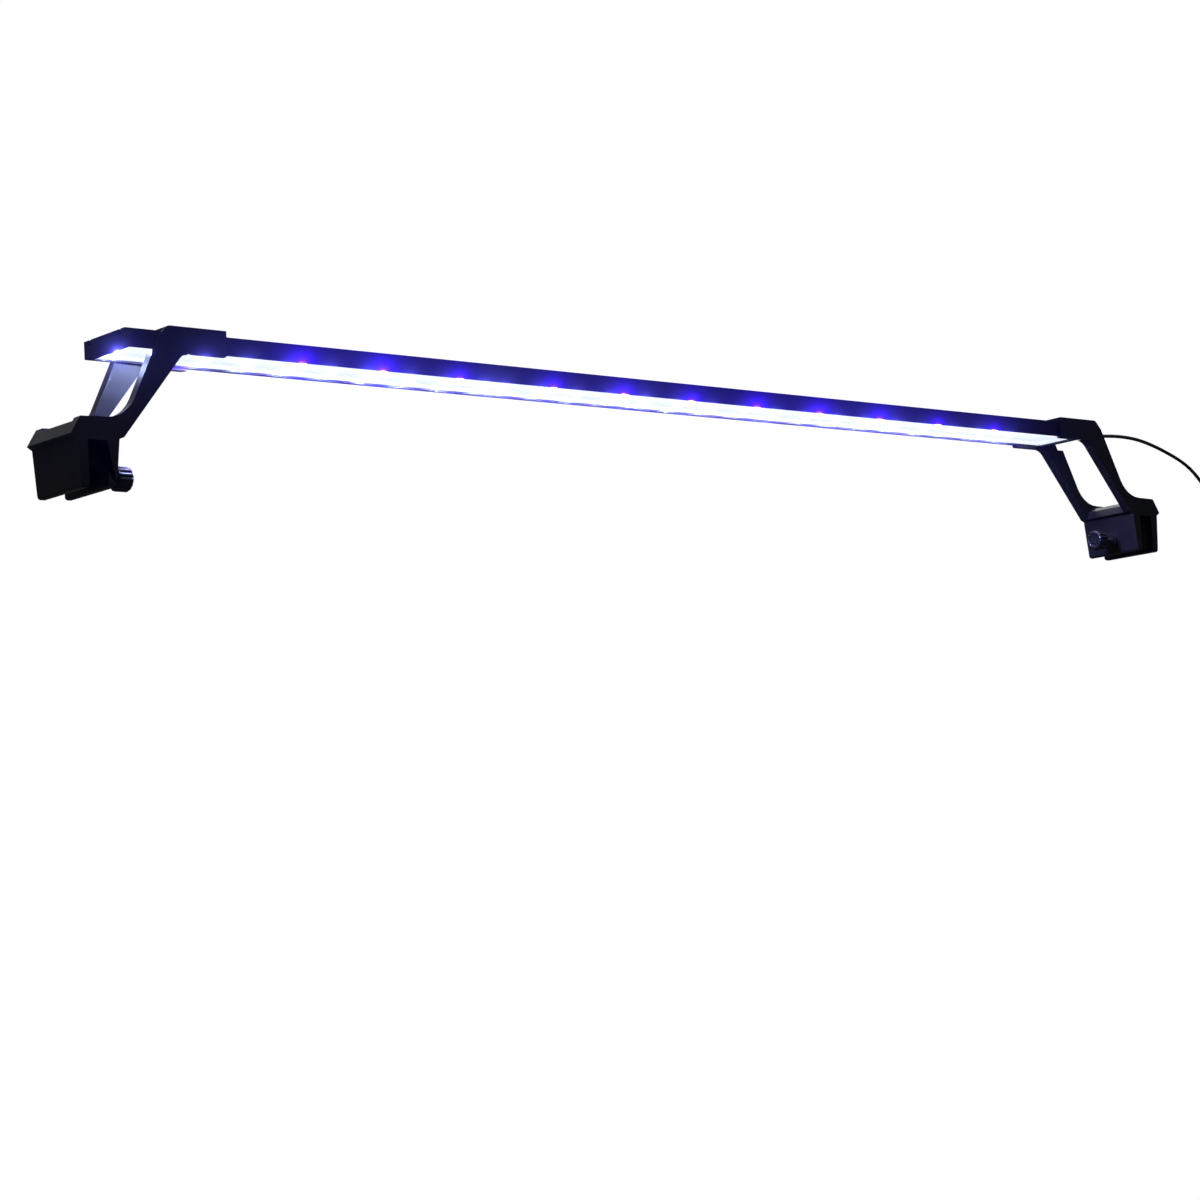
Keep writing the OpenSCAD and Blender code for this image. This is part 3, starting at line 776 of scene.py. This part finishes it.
def add_clamp_screw(side, material):
    """A screw with a rounded thread of 0.8 mm pitch."""
    low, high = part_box(side + "_clamp_screw")
    middle_z, radius = (low.z + high.z) / 2, (high.z - low.z) / 2
    pitch, depth, count = 0.8 * MM, 0.34 * MM, 24
    steps = round((high.x - low.x) / pitch * 6)
    rings = []
    for i in range(steps + 1):
        x = low.x + (high.x - low.x) * i / steps
        taper = min(1.0, i / 4, (steps - i) / 4)
        ring = []
        for k in range(count):
            phase = (x / pitch - SIDES[side] * k / count) % 1.0
            r = radius - depth * (1 - abs(2 * phase - 1)) * min(1, taper + 0.2) - 0.4 * MM * (1 - taper)
            angle = TURN * k / count
            ring.append((x, r * math.cos(angle), middle_z + r * math.sin(angle)))
        rings.append(ring)
    Shape().loft(rings).piece(side + "_threaded_screw", side + "_clamp_screw", "clamp_plastic", [material],
                              50, [side + "_clamp_screw"])


def add_pressure_pad(side, material):
    """A rubber disc with ring ridges on the face that meets the glass."""
    low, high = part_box(side + "_pressure_pad")
    facing = SIDES[side]
    start = low.x if facing > 0 else high.x
    middle_z, radius = (low.z + high.z) / 2, (high.z - low.z) / 2
    profile = [(1.2, 0.3), (1.2, 2.55), (0, 2.55), (0, 5.6), (0.3, 5.95), (1.1, 6.0), (1.9, 5.85),
               (2.35, 5.5)]
    for r in (4.9, 3.9, 2.9, 1.9, 0.9):
        profile += [(2.5, r + 0.25), (2.5, r), (2.2, r - 0.2), (2.2, r - 0.45)]
    scale = radius / (6 * MM)
    rings = turned([(start + facing * x * MM, max(r, 0.2) * MM * scale) for x, r in profile], 48, 0, middle_z)
    Shape().loft(rings).piece(side + "_ridged_pressure_pad", side + "_pressure_pad", "pad_rubber", [material],
                              replaced=[side + "_pressure_pad"])


def add_glass_pad(side, material):
    """A rubber strip with level ribs on the jaw that stands outside the glass."""
    low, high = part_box(side + "_glass_pad")
    facing = SIDES[side]
    back, face = (high.x, low.x) if facing > 0 else (low.x, high.x)
    ribs = 9
    pitch = (high.z - low.z) / ribs
    valley = face + facing * 0.45 * MM
    outline = [(back, low.z)]
    for i in range(ribs):
        z = low.z + i * pitch
        outline += [(valley, z + 0.05 * pitch), (face, z + 0.3 * pitch), (face, z + 0.7 * pitch),
                    (valley, z + 0.95 * pitch)]
    outline.append((back, high.z))
    inset, shrunk = 0.3 * MM, 0.82
    rings = []
    for y, share in ((low.y, shrunk), (low.y + inset, 1), (high.y - inset, 1), (high.y, shrunk)):
        rings.append([(back + (x - back) * share, y, z) for x, z in outline])
    Shape().loft(rings).piece(side + "_ribbed_glass_pad", side + "_bracket", "pad_rubber", [material],
                              25, [side + "_glass_pad"])


# ---- CAD pieces that stay ----

def dress(node, material, edge=0.0, segments=2):
    """Gives a CAD node its material and, where edge is set, softly rounded edges."""
    target = NODES[node]
    target.data.materials.clear()
    target.data.materials.append(material)
    if edge:
        weld = target.modifiers.new("weld", "WELD")
        weld.merge_threshold = 1e-6
        flat = target.modifiers.new("flat", "DECIMATE")
        flat.decimate_type = "DISSOLVE"
        flat.angle_limit = math.radians(0.6)
        bevel = target.modifiers.new("bevel", "BEVEL")
        bevel.width = edge
        bevel.segments = segments
        bevel.limit_method = "ANGLE"
        bevel.angle_limit = math.radians(35)
        bevel.harden_normals = True
        bevel.miter_outer = "MITER_ARC"


def add_bloom():
    """The lens's bloom round lights far brighter than the backdrop: a tight glow and a wide veil."""
    scene = bpy.context.scene
    scene.use_nodes = True
    tree = scene.node_tree
    tree.nodes.clear()
    image = tree.nodes.new("CompositorNodeRLayers").outputs["Image"]
    for size, strength, tint in ((0.2, 0.8, (0.3, 0.25, 1.0, 1)), (0.5, 0.15, (0.1, 0.1, 1.0, 1))):
        glare = tree.nodes.new("CompositorNodeGlare")
        glare.glare_type = "BLOOM"
        glare.quality = "HIGH"
        for socket, value in (("Threshold", 5.0), ("Smoothness", 0.1), ("Clamp", True),
                              ("Maximum", 6000.0), ("Strength", strength), ("Tint", tint), ("Size", size)):
            glare.inputs[socket].default_value = value
        tree.links.new(image, glare.inputs["Image"])
        image = glare.outputs["Image"]
    output = tree.nodes.new("CompositorNodeComposite")
    tree.links.new(image, output.inputs["Image"])


add_camera()
bpy.context.scene.view_settings.view_transform = "Standard"
add_world()
add_sky_light(2.0)
add_softbox("front_left", (-1.4, -1.6, 0.9), (0, 0, 0.05), (1.0, 1.0), 1.2)
add_softbox("back_right", (1.2, 1.5, 0.8), (0, 0, 0.05), (0.9, 0.9), 4)
floor = add_floor()
add_bloom()

BRACKET = moulded_plastic("bracket_plastic_grain", (0.008, 0.008, 0.010), (0.013, 0.013, 0.016), 0.36,
                          0.02 * MM, worn=(0.05, 0.05, 0.06), specular_ior_level=0.45)
CLAMP = moulded_plastic("clamp_plastic_grain", (0.009, 0.009, 0.011), (0.015, 0.015, 0.018), 0.3,
                        0.012 * MM, worn=(0.05, 0.05, 0.055))
CAP = moulded_plastic("cap_plastic_grain", (0.009, 0.009, 0.011), (0.014, 0.014, 0.017), 0.45, 0.025 * MM,
                      worn=(0.05, 0.05, 0.055))
ADAPTER = moulded_plastic("adapter_plastic_grain", (0.010, 0.010, 0.012), (0.016, 0.016, 0.019), 0.48,
                          0.05 * MM, worn=(0.05, 0.05, 0.055))
SLEEVE = moulded_plastic("pin_sleeve_plastic", (0.010, 0.010, 0.012), (0.018, 0.018, 0.02), 0.4, 0.01 * MM)
CHIP = moulded_plastic("resistor_glaze", (0.012, 0.012, 0.014), (0.03, 0.03, 0.034), 0.3, 0.01 * MM)
CERAMIC = moulded_plastic("led_case_plastic", (0.72, 0.72, 0.70), (0.82, 0.82, 0.80), 0.4, 0.01 * MM)
PAINT = moulded_plastic("board_ink", (0.42, 0.43, 0.45), (0.62, 0.63, 0.65), 0.6, 0.01 * MM)
CORD_SKIN = cord_jacket()
GLAND = rubber("gland_rubber_skin", (0.010, 0.010, 0.011), (0.018, 0.018, 0.020), 0.62)
PAD = rubber("pad_rubber_skin", (0.022, 0.022, 0.024), (0.036, 0.036, 0.038), 0.8)
GASKET = rubber("gasket_rubber_skin", (0.014, 0.014, 0.016), (0.024, 0.024, 0.026), 0.7)
SILICONE = rubber("seal_silicone_skin", (0.45, 0.46, 0.48), (0.55, 0.56, 0.58), 0.5)
STEEL = brushed_metal("zinc_plated_steel", (0.50, 0.50, 0.51), (0.66, 0.66, 0.67), 0.28)
BLACK_ZINC = brushed_metal("black_zinc_plate", (0.018, 0.018, 0.020), (0.035, 0.035, 0.04), 0.35)
NICKEL = brushed_metal("nickel_plate", (0.62, 0.60, 0.57), (0.74, 0.72, 0.69), 0.16, (1, 1, 0.05))
SOLDER = brushed_metal("solder", (0.55, 0.55, 0.56), (0.72, 0.72, 0.73), 0.3)
WHITE_LIGHT = phosphor("white_phosphor", (0.78, 0.62, 0.06), (0.86, 0.74, 0.14), (0.45, 0.55, 1.0),
                       WHITE_GLOW)
BLUE_LIGHT = phosphor("blue_window", (0.50, 0.52, 0.60), (0.62, 0.64, 0.72), (0.16, 0.03, 1.0),
                      BLUE_GLOW)

tie = add_cord_tie(woven_tape("tie_fabric", (0.012, 0.012, 0.014), (0.035, 0.035, 0.040)))
gland = add_ribbed_relief("ribbed_cable_gland", "cable_gland", 5, False, GLAND)
relief = add_ribbed_relief("ribbed_strain_relief", "adapter_strain_relief", 6, True, GLAND)
add_adapter(ADAPTER, NICKEL, SLEEVE)
add_cord(CORD_SKIN)
white_leds = add_led_packages("white_led_packages", "white_leds", "led_white", CERAMIC, WHITE_LIGHT, SOLDER)
blue_leds = add_led_packages("blue_led_packages", "blue_leds", "led_blue", CERAMIC, BLUE_LIGHT, SOLDER)
spare_floor(floor, [white_leds, blue_leds, NODES["lens_cover"]])
add_chip_resistors(CHIP, SOLDER)
add_board_print(PAINT)
add_end_screws(BLACK_ZINC)
dress("bar_extrusion", anodised_aluminium(), 0.15 * MM)
MASK = solder_mask()
for part in ("led_board_left", "led_board_right"):
    dress(part, MASK)
dress("lens_cover", clear_acrylic())
dress("cover_seals", SILICONE)
dress("thermal_tape", woven_tape("tape_fibre", (0.55, 0.55, 0.53), (0.68, 0.68, 0.65)))
WIRE = insulated_wire("wire_jacket", (0.30, 0.012, 0.012), (0.42, 0.02, 0.02))
for part in ("board_link_wires", "power_wires"):
    dress(part, WIRE)
dress("adapter_circuit", laminate())
dress("end_cap_gaskets", GASKET)
for part in ("end_cap_left", "end_cap_right"):
    dress(part, CAP, 0.35 * MM)
for side in SIDES:
    dress(side + "_bracket", BRACKET, 0.6 * MM, 3)
    dress(side + "_clamp_nut", STEEL, 0.3 * MM)
    add_clamp_knob(side, CLAMP)
    add_clamp_screw(side, CLAMP)
    add_pressure_pad(side, PAD)
    add_glass_pad(side, PAD)
